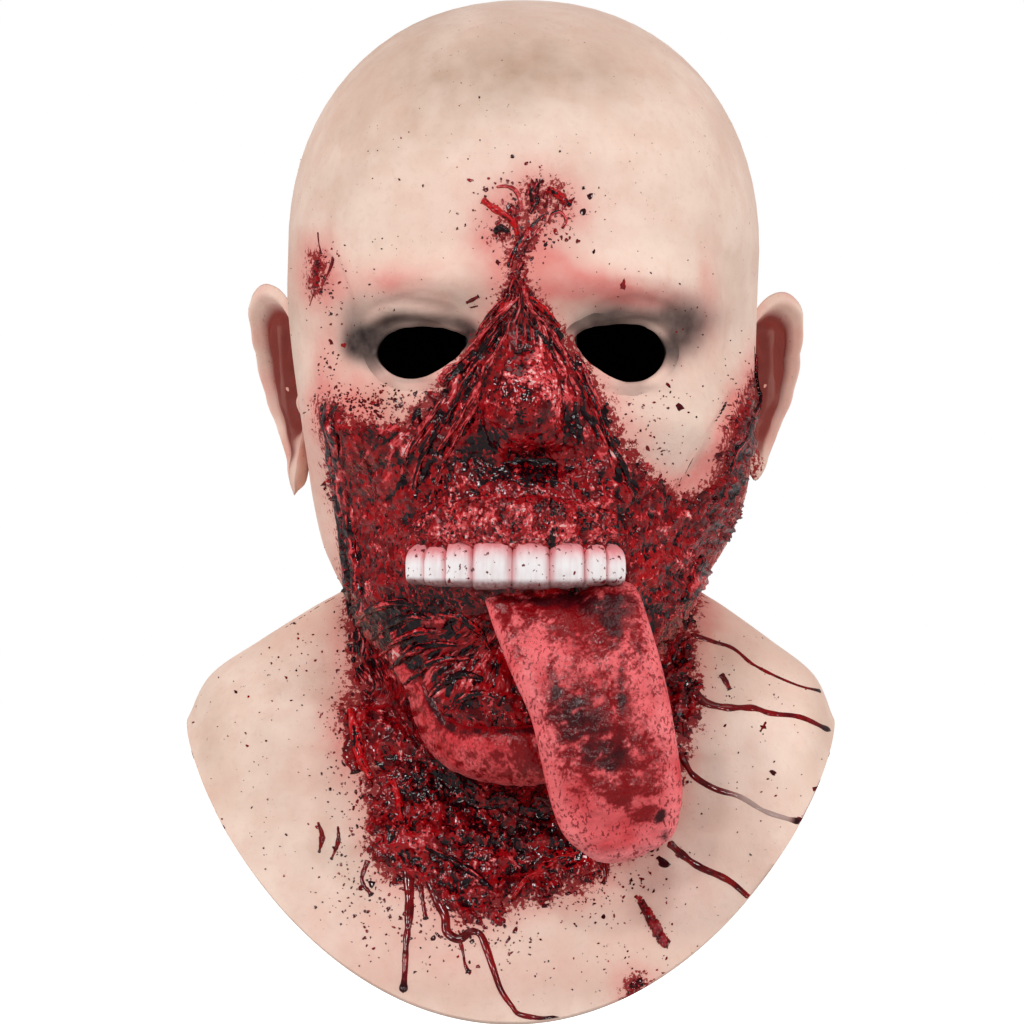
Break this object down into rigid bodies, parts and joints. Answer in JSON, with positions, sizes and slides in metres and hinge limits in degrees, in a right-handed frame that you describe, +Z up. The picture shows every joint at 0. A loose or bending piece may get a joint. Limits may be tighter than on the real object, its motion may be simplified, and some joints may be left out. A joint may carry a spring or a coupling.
{
  "type": "full-head latex mask",
  "caption": "Hollow latex mask of a bald undead head with a bib, torn bloody face, bared upper teeth, hanging lip and a long tongue.",
  "frame": {"origin": "centre of the inner side of the crown, where the mask sits on the top of the wearer's head", "axes": "+Z up out of the crown; -Y the way the face looks; +X to the right as the viewer faces the mask"},
  "size_m": [0.2488, 0.2468, 0.3848],
  "materials": {
    "skin": "satin painted latex, pale peach with grey-brown shading",
    "flesh": "wet-look painted latex, dark red with near-black clots",
    "gum": "glossy painted latex, pink with blood specks",
    "lip": "satin painted latex, salmon red",
    "tongue": "satin painted latex, salmon red with dark stains",
    "teeth": "glossy painted latex, off-white, pink towards the gum"
  },
  "bodies": {
    "root": {"head_shell": "skin", "ear_left": "skin", "ear_right": "skin", "face_wound": "flesh", "neck_wound": "flesh", "upper_gum": "gum", "lower_lip": "lip", "tongue": "tongue", "tooth_1": "teeth", "tooth_2": "teeth", "tooth_3": "teeth", "tooth_4": "teeth", "tooth_5": "teeth", "tooth_6": "teeth", "tooth_7": "teeth", "tooth_8": "teeth"}
  },
  "joints": []
}
